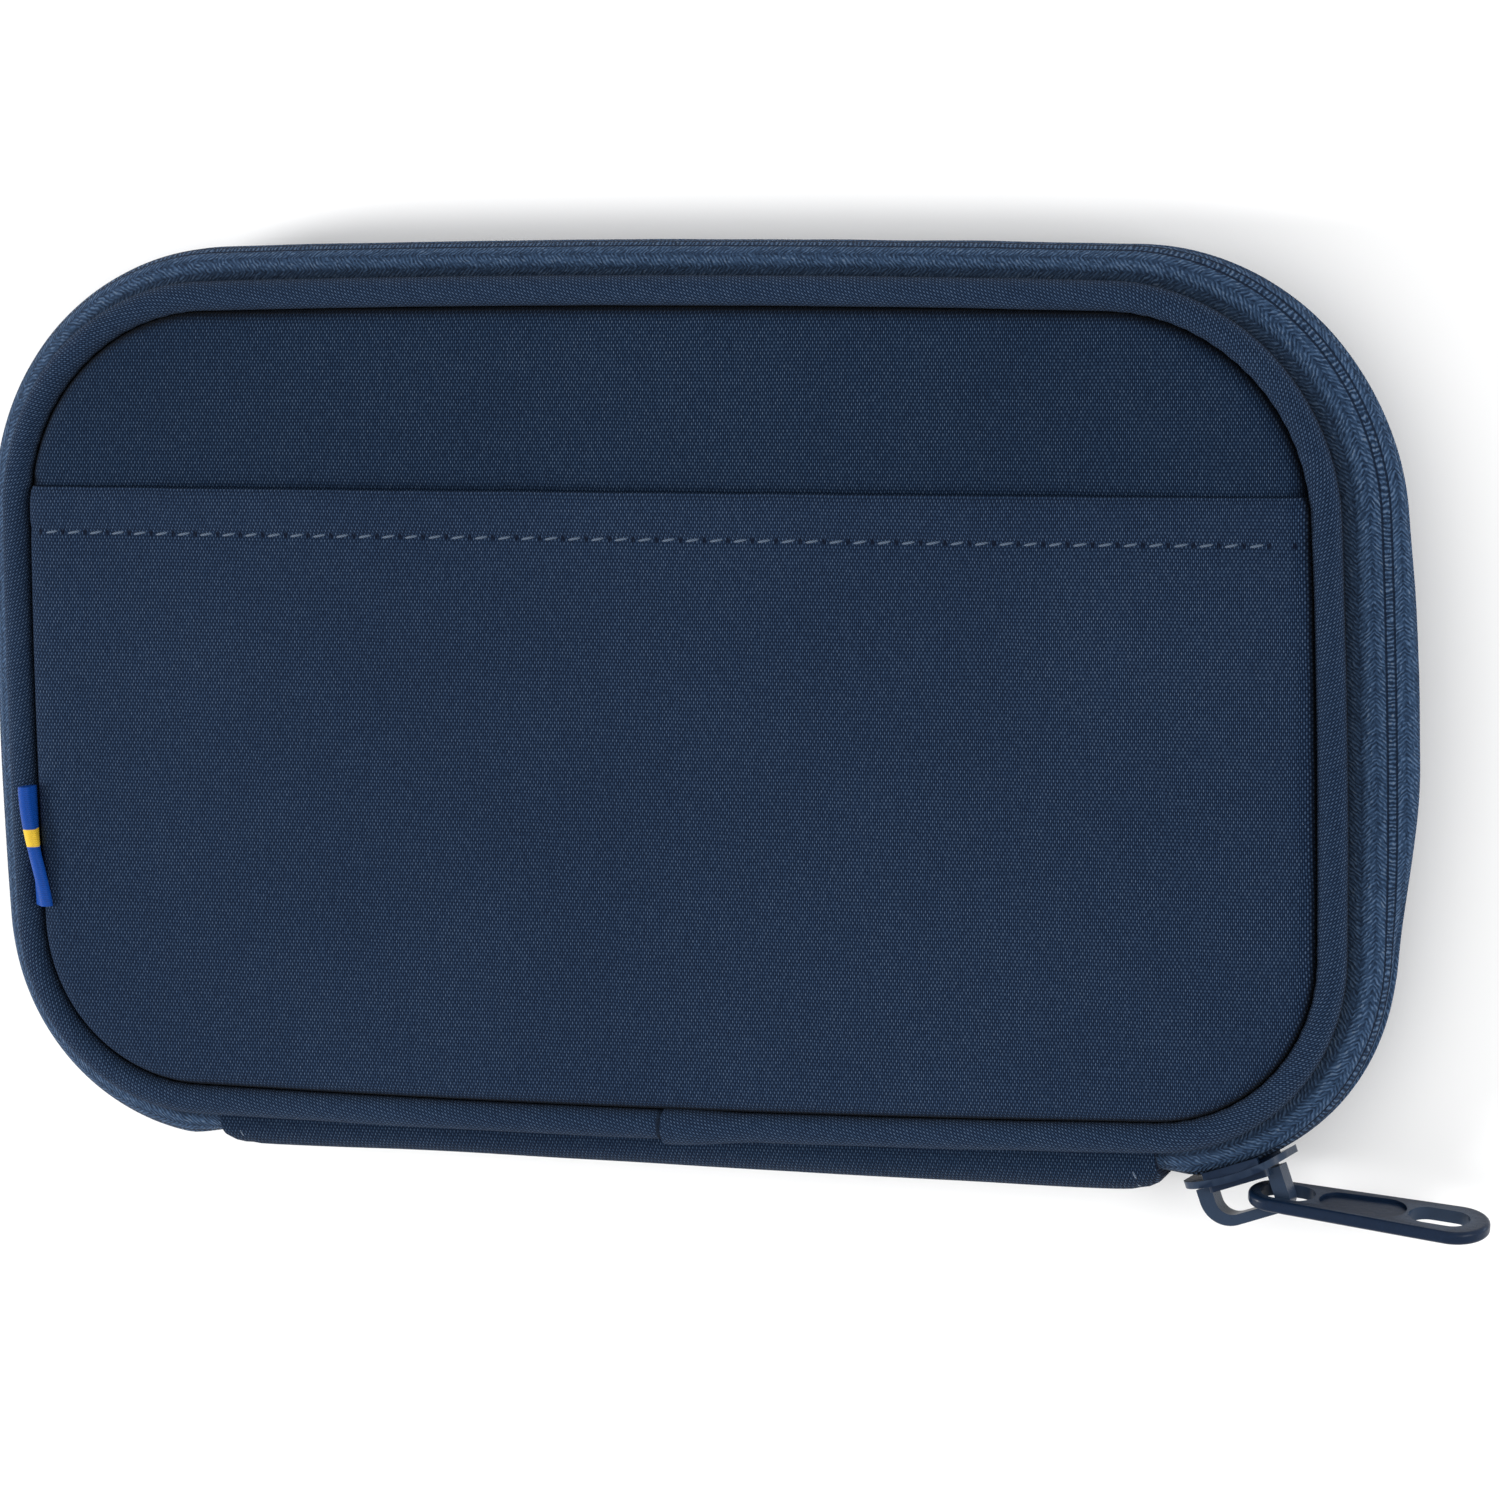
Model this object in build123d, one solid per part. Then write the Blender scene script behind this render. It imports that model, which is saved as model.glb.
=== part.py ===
from build123d import *
import math
import os

# A zip-around passport holder wallet, lying on its back cover. Millimetres.
# X runs along the long side, Y from the spine edge (-Y) to the opposite edge, Z up out of the front cover.
# The origin is the middle of the back cover's flat outer face.

# ---- overall sizes ----
THICKNESS = 20.0        # outer face to outer face of the two covers
HALF_LENGTH = 92.6      # cover middle to the seam beside the piping, along X
HALF_HEIGHT = 54.5      # the same, along Y
SIDE_BOW = 1.3          # how far the short edges bow outwards
EDGE_BOW = 1.54         # how far the long edges bow outwards
TOP_CORNER = 28.0       # seam radius of the two corners away from the spine
SPINE_CORNER = 23.0     # seam radius of the two corners beside the spine

# ---- layers of one cover, as heights above its outer face ----
PANEL = (0.0, 0.8)
FOAM = (0.8, 2.6)
STIFFENER = (2.6, 3.2)
LINING = (3.25, 3.65)
PIPING_FLANGE = (3.95, 4.35)
TAPE_FLANGE = (4.45, 5.05)
BINDING = (4.0, 5.5)
SEAM_WIDTH = 4.0        # seam allowance inside the seam line
BINDING_WIDTH = 6.0

# ---- piping ----
PIPING_RADIUS = 2.15
PIPING_BORE = 1.65
CORD_RADIUS = 1.6
PIPING_HEIGHT = 2.25    # of its axis above the cover's outer face
LAP_RADIUS = 2.65       # where one end of the piping laps over the other
LAP_SHIFT = 0.35
LAP_X = (-0.7, 16.7)

# ---- zip round the case: outer and inner face of the tape as (offset from the seam, height) ----
TAPE_OUTSIDE = [(4.6, 4.45), (6.0, 5.3), (7.7, 7.0), (8.3, 9.8)]
TAPE_INSIDE = [(3.9, 5.05), (5.3, 5.7), (7.05, 7.15), (7.65, 9.81)]
COIL = (6.05, 7.3)      # offsets of the coil's faces
COIL_HEIGHT = (8.6, 9.8)
TAPE_END_X = 70.5
COIL_END_X = 71.6
STOP_X = (70.6, 71.5)

# ---- spine ----
SPINE_ENDS = (-67.5, 68.6)
SPINE_EDGE_Y = -59.6
SPINE_BULGE_Y = -62.8
SPINE_EDGE_HEIGHT = 3.9
SPINE_CLOTH = 0.8
SPINE_LINING = 0.4

# ---- pocket on the outside of the front cover ----
POCKET_MOUTH_Y = 29.6
POCKET_CLOTH = 0.5
HEM_STITCH_Y = 23.4
STITCH_PITCH = 3.4
STITCH_LENGTH = 2.5
THREAD = 0.45

# ---- label tab in the left seam ----
TAB_Y = (-28.8, -12.1)
TAB_RISE = 3.4
TAB_CLOTH = 0.6
TAB_LEAN = 28.0        # degrees outwards from upright
TAB_FOOT = (0.55, 20.1)    # its lower edge's offset from the seam, and height

# ---- slider of the zip round the case ----
SLIDER_ANGLE = 18.0     # how far round the corner it stands, from the spine edge
SLIDER_HALF = 7.4
SLIDER_SIDE = 4.7       # half its width across the zip
SLIDER_INNER = (3.4, 4.6)
SLIDER_OUTER = (8.65, 9.6)
LIP = (7.5, 0.8)        # offset that the side lips reach in to, and their thickness
LIP_HALF = 4.0
LIP_SIDE = 4.5
RIB = (4.4, 3.0, 0.8)   # half length, half width and height of the raised middle of the outer plate
CROWN_HEIGHT = 6.0
CROWN_SIDE = 1.6
CROWN_CREST = 1.4
CROWN_ENDS = (-6.5, 5.7)
CROWN_LEGS = (2.1, 2.0)
POST_LENGTH = 3.0

# ---- pull tab ----
PULL_PIVOT = (0.8, 2.65)    # along the slider, and out from its outer plate
PULL_TILT = -24.7       # from the slider's own direction
PULL_ROLL = 12.0
PULL_THICKNESS = 1.8
PULL_TAIL = (2.95, 3.8)     # centre and radius of the rounded end at the slider
PULL_TIP = (27.4, 4.75)
PULL_SLOT = (3.2, 5.7, 2.5)
PULL_EYE = (23.7, 27.0, 2.5)
PULL_FIELD = (11.4, 17.8, 2.5)
FIELD_DEPTH = 0.45

# ---- inside of the case ----
INSIDE_MARGIN = 6.6     # from the seam to the edge of the pockets
POCKET_ZIP_Y = 31.0
POCKET_ZIP_GAP = 3.5    # half the opening in the zipped pocket's cloth
PASSPORT_MOUTH_Y = 20.0
CARD_MOUTHS_Y = (36.0, 25.0, 14.0)
CARD_CLOTH = 0.4
CARD_STEP = 0.46
CLOTH = 0.4
POCKET_ZIP_HALF = 80.0
POCKET_SLIDER_X = -74.0

MIDDLE = THICKNESS / 2


# ---- outline of a cover ----

def edge_radius(half_width, bow):
    """Radius of an edge that bows out by bow over a half width."""
    return (half_width**2 + bow**2) / (2 * bow)


LONG_RADIUS = edge_radius(HALF_LENGTH, EDGE_BOW)
SHORT_RADIUS = edge_radius(HALF_HEIGHT, SIDE_BOW)


def corner_centre(radius):
    """Centre of the corner arc in the +X +Y quadrant, tangent to a long and a short edge."""
    long_y = HALF_HEIGHT - LONG_RADIUS
    short_x = HALF_LENGTH - SHORT_RADIUS
    gap = math.hypot(short_x, long_y)
    reach_long = LONG_RADIUS - radius
    reach_short = SHORT_RADIUS - radius
    along = (reach_long**2 - reach_short**2 + gap**2) / (2 * gap)
    aside = math.sqrt(reach_long**2 - along**2)
    step_x, step_y = short_x / gap, -long_y / gap
    return (along * step_x + aside * step_y, long_y + along * step_y - aside * step_x)


def corner_points(side_x, side_y, radius, offset):
    """The corner arc's end on the short edge, its middle, and its end on the long edge."""
    x, y = corner_centre(radius)
    long_turn = math.atan2(y - HALF_HEIGHT + LONG_RADIUS, x)
    short_turn = math.atan2(y, x - HALF_LENGTH + SHORT_RADIUS)
    grown = radius + offset
    points = []
    for turn in (short_turn, (short_turn + long_turn) / 2, long_turn):
        points.append((side_x * (x + grown * math.cos(turn)), side_y * (y + grown * math.sin(turn))))
    return points


def outline(offset=0.0, height=0.0):
    """Face inside the cover's edge line, grown outwards by offset: bowed edges and round corners."""
    top_right = corner_points(1, 1, TOP_CORNER, offset)
    top_left = corner_points(-1, 1, TOP_CORNER, offset)
    low_left = corner_points(-1, -1, SPINE_CORNER, offset)
    low_right = corner_points(1, -1, SPINE_CORNER, offset)
    long_y, short_x = HALF_HEIGHT + offset, HALF_LENGTH + offset
    edges = [
        ThreePointArc(low_right[0], (short_x, 0), top_right[0]),
        ThreePointArc(*top_right),
        ThreePointArc(top_right[2], (0, long_y), top_left[2]),
        ThreePointArc(*reversed(top_left)),
        ThreePointArc(top_left[0], (-short_x, 0), low_left[0]),
        ThreePointArc(*low_left),
        ThreePointArc(low_left[2], (0, -long_y), low_right[2]),
        ThreePointArc(*reversed(low_right)),
    ]
    return Pos(0, 0, height) * make_face(edges)


def plate(offset, heights, hole=None):
    """Flat layer of a cover between two heights, with an optional hole of the same outline."""
    solid = extrude(outline(offset, heights[0]), heights[1] - heights[0])
    if hole is not None:
        solid -= extrude(outline(hole, heights[0] - 1), heights[1] - heights[0] + 2)
    return solid


def block(x_range, y_range, z_range):
    """Box between three pairs of coordinates."""
    size = [high - low for low, high in (x_range, y_range, z_range)]
    middle = [(low + high) / 2 for low, high in (x_range, y_range, z_range)]
    return Pos(*middle) * Box(*size)


def flip(solid):
    """The same piece on the front cover."""
    return mirror(solid, about=Plane((0, 0, MIDDLE)))


FAR = 200.0


def spine_side(end_x):
    """Space between the ends of the zip, on the spine edge."""
    return block((-end_x, end_x), (-FAR, -HALF_HEIGHT / 2), (-1, THICKNESS + 1))


# ---- layers of a cover ----

def piping_axis():
    return outline(PIPING_RADIUS, PIPING_HEIGHT).face().outer_wire()


def ring_tube(radius):
    """Round tube along the piping's axis."""
    axis = piping_axis()
    section = Plane(axis @ 0, z_dir=axis % 0) * Circle(radius)
    return sweep(section, path=axis)


def piping_lap():
    """Thicker stretch where one end of the piping is turned over the other."""
    sections = []
    for x, radius, shift in ((LAP_X[0], LAP_RADIUS, LAP_SHIFT), (LAP_X[1], PIPING_RADIUS + 0.02, 0.0)):
        y = -HALF_HEIGHT - PIPING_RADIUS - shift + x**2 / (2 * LONG_RADIUS)
        sections.append(Plane((x, y, PIPING_HEIGHT), z_dir=(1, 0, 0)) * Circle(radius))
    return loft(sections)


def piping(with_lap):
    """Cloth sleeve round the cord, with its seam allowance."""
    sleeve = ring_tube(PIPING_RADIUS) + plate(PIPING_RADIUS, PIPING_FLANGE, hole=-SEAM_WIDTH)
    if with_lap:
        sleeve += piping_lap()
    return sleeve - ring_tube(PIPING_BORE)


def zip_tape():
    """One half of the zip's tape: a seam allowance, and a band that curves round to the slit."""
    outside = loft([outline(offset, height) for offset, height in TAPE_OUTSIDE], ruled=True)
    inside = loft([outline(offset, height) for offset, height in TAPE_INSIDE], ruled=True)
    band = outside - inside - plate(-SEAM_WIDTH, (TAPE_FLANGE[0] - 1, TAPE_FLANGE[1] + 1))
    return band - spine_side(TAPE_END_X)


def coil_ring():
    return plate(COIL[1], COIL_HEIGHT, hole=COIL[0])


def zip_coil():
    return coil_ring() - spine_side(COIL_END_X)


def zip_stop(side):
    """Clamp at one end of a coil."""
    x_range = sorted((side * STOP_X[0], side * STOP_X[1]))
    return coil_ring() & block(x_range, (-FAR, -HALF_HEIGHT / 2), (0, THICKNESS))


def edge_binding():
    """Tape folded over the raw edges of the seam, inside the case."""
    cover = plate(-0.2, (TAPE_FLANGE[1] + 0.05, BINDING[1]), hole=-BINDING_WIDTH)
    wall = plate(-SEAM_WIDTH - 0.1, BINDING, hole=-BINDING_WIDTH)
    return cover + wall


def slider_room():
    """Space that the slider needs along the corner, cut out of the front half of the zip."""
    return block((TAPE_END_X - 2, FAR), (-FAR, -HALF_HEIGHT / 2), (0, THICKNESS - TAPE_FLANGE[1] + 0.05))


# ---- front cover's own pieces ----

def slip_pocket():
    """Second layer of cloth on the front, open along its top edge."""
    cloth = plate(-0.2, (-POCKET_CLOTH, 0.0))
    return cloth & block((-FAR, FAR), (-FAR, POCKET_MOUTH_Y), (-5, 5))


def hem_thread():
    """Row of stitches below the pocket's mouth."""
    reach = HALF_LENGTH - 3.0
    count = int(2 * reach / STITCH_PITCH)
    top = -POCKET_CLOTH
    stitches = []
    for number in range(count):
        x = -reach + (number + 0.5) * STITCH_PITCH
        stitches.append(Pos(x, HEM_STITCH_Y, top - THREAD / 2) * Box(STITCH_LENGTH, THREAD, THREAD))
    return Compound(stitches)


def label_tab():
    """Folded ribbon standing out of the left seam and leaning over the piping."""
    flap = Pos(0, 0, TAB_RISE / 2) * Box(2 * TAB_CLOTH, TAB_Y[1] - TAB_Y[0], TAB_RISE)
    flap = fillet(flap.faces().sort_by(Axis.Z)[-1].edges().filter_by(Axis.Y), TAB_CLOTH * 0.95)
    y = (TAB_Y[0] + TAB_Y[1]) / 2
    x = -HALF_LENGTH + y**2 / (2 * SHORT_RADIUS) - TAB_FOOT[0]
    turn = math.degrees(y / SHORT_RADIUS)
    return Pos(x, y, TAB_FOOT[1]) * Rot(0, 0, turn) * Rot(0, -TAB_LEAN, 0) * flap


# ---- spine ----

def spine_strip(start, thick):
    """Bulged strip between the two covers, start inside its outer face."""
    radius_points = []
    for inset in (start, start + thick):
        edge = SPINE_EDGE_Y + inset * 0.45
        rise = SPINE_EDGE_HEIGHT + inset * 0.9
        radius_points.append(((edge, rise), (SPINE_BULGE_Y + inset, MIDDLE), (edge, THICKNESS - rise)))
    outer, inner = radius_points
    section = make_face([
        ThreePointArc(*outer),
        Line(outer[2], inner[2]),
        ThreePointArc(*reversed(inner)),
        Line(inner[0], outer[0]),
    ])
    across = Plane(origin=(SPINE_ENDS[0], 0, 0), x_dir=(0, 1, 0), z_dir=(1, 0, 0))
    return extrude(across * section, SPINE_ENDS[1] - SPINE_ENDS[0])


# ---- slider, drawn at the bottom of the corner's arc and then turned up round it ----

CORNER_X, CORNER_UP = corner_centre(SPINE_CORNER)
CORNER_Y = -CORNER_UP


def on_corner(solid):
    """Put a piece drawn round (0, 0), pointing at -Y, onto the corner at the slider's place."""
    return Pos(CORNER_X, CORNER_Y, MIDDLE) * Rot(0, 0, SLIDER_ANGLE) * solid


def arc_band(offsets, half_length, side, rounding):
    """Curved plate that follows the zip round the corner, between two offsets from the seam."""
    low, high = [SPINE_CORNER + offset for offset in offsets]
    ring = Circle(high) - Circle(low)
    band = extrude(ring, side + 1, both=True)
    window = Plane((0, -high, 0), z_dir=(0, -1, 0), x_dir=(1, 0, 0))
    window = extrude(window * RectangleRounded(2 * half_length, 2 * side, rounding), high - low + 6, both=True)
    return band & window


def slider_body():
    """Inner and outer plate, joined by the post at the leading end."""
    outer = arc_band(SLIDER_OUTER, SLIDER_HALF, SLIDER_SIDE, 2.6)
    overlap = 0.3
    base = SPINE_CORNER + SLIDER_OUTER[0]
    lips = block((-LIP_HALF, LIP_HALF), (-base - overlap, -SPINE_CORNER - LIP[0]), (-LIP_SIDE, LIP_SIDE))
    lips -= block((-FAR, FAR), (-FAR, 0), (LIP[1] - LIP_SIDE, LIP_SIDE - LIP[1]))
    inner = arc_band(SLIDER_INNER, SLIDER_HALF - 0.6, SLIDER_SIDE - 0.4, 2.4)
    low, high = SPINE_CORNER + SLIDER_INNER[1] - overlap, base + overlap
    lead = SLIDER_HALF - 1.4
    post = block((lead - POST_LENGTH, lead), (-high, -low), (0.12, 1.3))
    top = SPINE_CORNER + SLIDER_OUTER[1]
    rib = block((-RIB[0], RIB[0]), (-top - RIB[2], -top + 0.6), (-RIB[1], RIB[1]))
    rib = fillet(rib.edges().filter_by(Axis.Y), 0.8)
    return on_corner(outer + lips + inner + post + rib)


def slider_crown():
    """Bridge on the outer plate that holds the pull tab."""
    base = -SPINE_CORNER - SLIDER_OUTER[1]
    left, right = CROWN_ENDS
    crest = base - CROWN_HEIGHT
    outer = make_face(FilletPolyline(
        (left, base), (left, crest), (right, crest), (right, base), radius=[4.2, 1.8], close=False
    ) + Line((right, base), (left, base)))
    under = crest + CROWN_CREST
    inner_left, inner_right = left + CROWN_LEGS[0], right - CROWN_LEGS[1]
    inner = make_face(FilletPolyline(
        (inner_left, base + 1), (inner_left, under), (inner_right, under), (inner_right, base + 1),
        radius=[2.4, 0.8], close=False
    ) + Line((inner_right, base + 1), (inner_left, base + 1)))
    arch = extrude(outer - inner, CROWN_SIDE, both=True)
    seat = arc_band((SLIDER_OUTER[0] - 3, SLIDER_OUTER[1]), SLIDER_HALF + 2, SLIDER_SIDE, 0.5)
    rib = block((-RIB[0], RIB[0]), (base - RIB[2], base + 1), (-RIB[1], RIB[1]))
    rib = fillet(rib.edges().filter_by(Axis.Y), 0.8)
    return on_corner(arch - seat - rib)


# ---- pull tab ----

def capsule(start, end, radius, end_radius=None):
    """Two circles and the straight sides that touch both, along X."""
    end_radius = radius if end_radius is None else end_radius
    return make_hull((Pos(start, 0) * Circle(radius) + Pos(end, 0) * Circle(end_radius)).edges())


def pull_place():
    """Location of the pull tab's own frame: pivot at its origin, X to its tip, Z across the zip."""
    out = SPINE_CORNER + SLIDER_OUTER[1] + PULL_PIVOT[1]
    place = Pos(CORNER_X, CORNER_Y, MIDDLE) * Rot(0, 0, SLIDER_ANGLE) * Pos(PULL_PIVOT[0], -out, 0)
    return place * Rot(0, 0, PULL_TILT) * Rot(PULL_ROLL, 0, 0)


def pull_tab():
    """Tapered tab with a slot for the crown, a sunk field and an eye at the tip."""
    flat = Plane(origin=(0, 0, 0), x_dir=(1, 0, 0), z_dir=(0, 1, 0))
    body = extrude(flat * capsule(PULL_TAIL[0], PULL_TIP[0], PULL_TAIL[1], PULL_TIP[1]),
                   PULL_THICKNESS / 2, both=True)
    body = fillet(body.edges(), 0.6)
    for start, end, radius in (PULL_SLOT, PULL_EYE):
        body -= extrude(flat * capsule(start, end, radius), PULL_THICKNESS, both=True)
    field = extrude(flat * capsule(*PULL_FIELD, PULL_FIELD[2] + 0.5), FIELD_DEPTH, both=True)
    for side in (-1, 1):
        body -= Pos(0, side * PULL_THICKNESS / 2, 0) * field
    return pull_place() * body


# ---- pockets inside the case ----

def inside_sheet(heights, y_range):
    """Flat cloth inside the seam binding, between two Y values."""
    return plate(-INSIDE_MARGIN, heights) & block((-FAR, FAR), y_range, (-1, THICKNESS + 1))


def layer(base, thick=CLOTH):
    return (base, base + thick)


POCKET_BASE = LINING[1] + 0.05
ZIP_BASE = POCKET_BASE + CLOTH + 0.05
SMALL_COIL = (ZIP_BASE + CLOTH + 0.03, ZIP_BASE + CLOTH + 1.03)


def pocket_tapes():
    """Both halves of the small zip's tape, laid on the edges of the pocket's cloth."""
    halves = []
    for side in (-1, 1):
        y_range = sorted((POCKET_ZIP_Y + side * 0.4, POCKET_ZIP_Y + side * 6.0))
        halves.append(block((-POCKET_ZIP_HALF, POCKET_ZIP_HALF), y_range, layer(ZIP_BASE)))
    return Compound(halves)


def pocket_coils():
    halves = []
    for side in (-1, 1):
        y_range = sorted((POCKET_ZIP_Y + side * 0.4, POCKET_ZIP_Y + side * 1.7))
        halves.append(block((-POCKET_ZIP_HALF + 1.2, POCKET_ZIP_HALF - 1.2), y_range, SMALL_COIL))
    return Compound(halves)


def pocket_stops():
    stops = []
    for side in (-1, 1):
        x_range = sorted((side * (POCKET_ZIP_HALF - 1.1), side * (POCKET_ZIP_HALF - 0.1)))
        stops.append(block(x_range, (POCKET_ZIP_Y - 1.8, POCKET_ZIP_Y + 1.8), SMALL_COIL))
    return Compound(stops)


def pocket_slider():
    """Small slider: two plates, a post between the coils and a loop for its pull."""
    low = (POCKET_BASE, POCKET_BASE + CLOTH - 0.05)
    high = (SMALL_COIL[1] + 0.1, SMALL_COIL[1] + 0.9)
    x, y = POCKET_SLIDER_X, POCKET_ZIP_Y
    plates = block((x - 3.6, x + 3.6), (y - 2.7, y + 2.7), low)
    plates += block((x - 4, x + 4), (y - 2.9, y + 2.9), high)
    plates = fillet(plates.edges().filter_by(Axis.Z), 1.4)
    post = block((x - 3.2, x - 1.6), (y - 0.3, y + 0.3), (low[0], high[1]))
    return plates + post + pocket_loop(high[1])


def pocket_loop(top):
    """Half ring standing on the small slider."""
    ring = Plane((POCKET_SLIDER_X, POCKET_ZIP_Y, top), z_dir=(0, 1, 0), x_dir=(1, 0, 0))
    face = ring * (Circle(1.8) - Circle(1.1))
    loop = extrude(face, 0.6, both=True)
    return loop & block((-FAR, FAR), (-FAR, FAR), (top - 0.1, top + 3))


def pocket_pull():
    """Small pull: a flat tab whose eye hangs in the slider's loop."""
    top = SMALL_COIL[1] + 0.9
    plan = capsule(0.2, 10.5, 1.6, 2.0) - Pos(0.0, 0) * Circle(0.95)
    plan -= capsule(8.9, 10.5, 0.9)
    return Pos(POCKET_SLIDER_X + 1.45, POCKET_ZIP_Y, top + 0.1) * extrude(plan, 0.7)


def card_row(number):
    """One row of card slots on the front cover's lining, nearer the middle with each number."""
    base = POCKET_BASE + number * CARD_STEP
    return flip(inside_sheet(layer(base, CARD_CLOTH), (-FAR, CARD_MOUTHS_Y[number])))


def write_all():
    tape, coil = zip_tape(), zip_coil()
    nodes = {
        "back_panel": plate(-0.2, PANEL),
        "back_foam": plate(-1.0, FOAM),
        "back_stiffener": plate(-3.0, STIFFENER),
        "back_lining": plate(-1.0, LINING),
        "back_piping": piping(with_lap=False),
        "back_piping_cord": ring_tube(CORD_RADIUS),
        "back_edge_binding": edge_binding(),
        "back_zip_tape": tape,
        "back_zip_coil": coil,
        "back_zip_stops": Compound([zip_stop(-1), zip_stop(1)]),
        "front_panel": flip(plate(-0.2, PANEL)),
        "front_foam": flip(plate(-1.0, FOAM)),
        "front_stiffener": flip(plate(-3.0, STIFFENER)),
        "front_lining": flip(plate(-1.0, LINING)),
        "front_slip_pocket": flip(slip_pocket()),
        "front_hem_thread": flip(hem_thread()),
        "front_piping": flip(piping(with_lap=True)),
        "front_piping_cord": flip(ring_tube(CORD_RADIUS)),
        "front_edge_binding": flip(edge_binding()),
        "front_zip_tape": flip(tape) - slider_room(),
        "front_zip_coil": flip(coil) - slider_room(),
        "front_zip_stop": flip(zip_stop(-1)),
        "label_tab": label_tab(),
        "spine_panel": spine_strip(0.0, SPINE_CLOTH),
        "spine_lining": spine_strip(SPINE_CLOTH + 0.05, SPINE_LINING),
        "slider_body": slider_body(),
        "slider_crown": slider_crown(),
        "pull_tab": pull_tab(),
        "zip_pocket_lower_cloth": inside_sheet(layer(POCKET_BASE), (-FAR, POCKET_ZIP_Y - POCKET_ZIP_GAP)),
        "zip_pocket_upper_cloth": inside_sheet(layer(POCKET_BASE), (POCKET_ZIP_Y + POCKET_ZIP_GAP, FAR)),
        "zip_pocket_tapes": pocket_tapes(),
        "zip_pocket_coils": pocket_coils(),
        "zip_pocket_stops": pocket_stops(),
        "zip_pocket_slider": pocket_slider(),
        "zip_pocket_pull": pocket_pull(),
        "passport_pocket": inside_sheet(layer(ZIP_BASE), (-FAR, PASSPORT_MOUTH_Y)),
    }
    for number in range(len(CARD_MOUTHS_Y)):
        nodes[f"card_row_{number + 1}"] = card_row(number)
    for name, solid in nodes.items():
        export_step(solid, f"parts/{name}.step")


os.makedirs("parts", exist_ok=True)
write_all()
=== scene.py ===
import math

import bmesh
import bpy
import numpy as np
from mathutils import Matrix, Vector, geometry, noise


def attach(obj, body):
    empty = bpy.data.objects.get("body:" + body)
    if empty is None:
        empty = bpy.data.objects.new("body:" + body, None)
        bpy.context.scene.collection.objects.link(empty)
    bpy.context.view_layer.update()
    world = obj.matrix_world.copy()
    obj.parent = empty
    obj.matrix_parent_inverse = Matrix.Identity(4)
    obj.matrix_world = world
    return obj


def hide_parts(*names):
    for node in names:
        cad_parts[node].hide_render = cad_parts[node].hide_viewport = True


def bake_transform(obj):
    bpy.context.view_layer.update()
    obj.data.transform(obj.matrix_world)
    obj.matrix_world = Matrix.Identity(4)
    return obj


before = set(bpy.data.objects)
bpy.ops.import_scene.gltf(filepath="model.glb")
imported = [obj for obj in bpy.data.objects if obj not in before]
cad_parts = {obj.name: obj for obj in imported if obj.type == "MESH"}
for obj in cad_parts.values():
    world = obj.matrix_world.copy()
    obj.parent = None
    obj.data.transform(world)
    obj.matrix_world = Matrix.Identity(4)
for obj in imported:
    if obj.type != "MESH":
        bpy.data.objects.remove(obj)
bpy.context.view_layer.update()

MM = 0.001

# ---- the case, in millimetres, in the frame's own axes ----
THICKNESS = 20.0
MIDDLE = THICKNESS / 2
HALF_LENGTH = 92.6
HALF_HEIGHT = 54.5
SIDE_BOW = 1.3
EDGE_BOW = 1.54
TOP_CORNER = 28.0
SPINE_CORNER = 23.0
PIPING_RADIUS = 2.03
PIPING_HEIGHT = 2.25
LAP_X = (-0.7, 16.0)
LAP_RISE = 0.5
MOUTH_Y = 29.6
HEM_STITCH_Y = 23.4
STITCH_PITCH = 3.4
TAPE_END_X = 66.5
LEFT_BULGE = 0.4
FRONT_RIGHT_BULGE = 3.6
BACK_RIGHT_BULGE = 3.0
SPINE_ENDS = (-67.5, 68.6)
LINING_HEIGHT = 3.65
INSIDE_MARGIN = 6.6
POCKET_ZIP_Y = 31.0
POCKET_ZIP_GAP = 3.5
PASSPORT_MOUTH_Y = 20.0
CARD_MOUTHS_Y = (36.0, 25.0, 14.0)
CARD_STEP = 0.46
LABEL_Y = (-28.8, -12.1)
LABEL_BAND_Y = (-20.4, -18.0)
HEM_REACH = HALF_LENGTH - 3.0

# ---- a Y past a cover's edges, for cloth that isn't cut off on that side ----
FAR_Y = 60.0

# ---- cloth: distance in from the seam line, and thickness ----
PANEL_INSET, PANEL_THICK = 0.1, 0.5
POCKET_INSET, POCKET_THICK = 0.15, 0.45
LINING_INSET, LINING_THICK = 1.2, 0.35
INNER_POCKET_THICK = 0.30

# ---- spine: a flattened half round between the two pipings ----
SPINE_ROOT_Y = -57.6
SPINE_SWELL = 5.3
SPINE_FULLNESS = 0.62
SPINE_HALF_HEIGHT = 5.45
SPINE_FLANGE = 70.0
SPINE_SLACK = 1.2
SPINE_STITCHES = (0.20, 0.36, 0.64, 0.80)

# ---- zip coil and sewn stitches ----
COIL_END_X = 72.0
COIL_OFFSET = 6.65
COIL_HEIGHT = 9.15
COIL_HALF_WIDTH = 0.38
COIL_HALF_DEPTH = 0.62
COIL_PITCH = 1.3
COIL_WIRE = 0.27
STITCH_LENGTH = 2.1
STITCH_WIDTH = 0.34
STITCH_LEAN = 11.0

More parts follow.
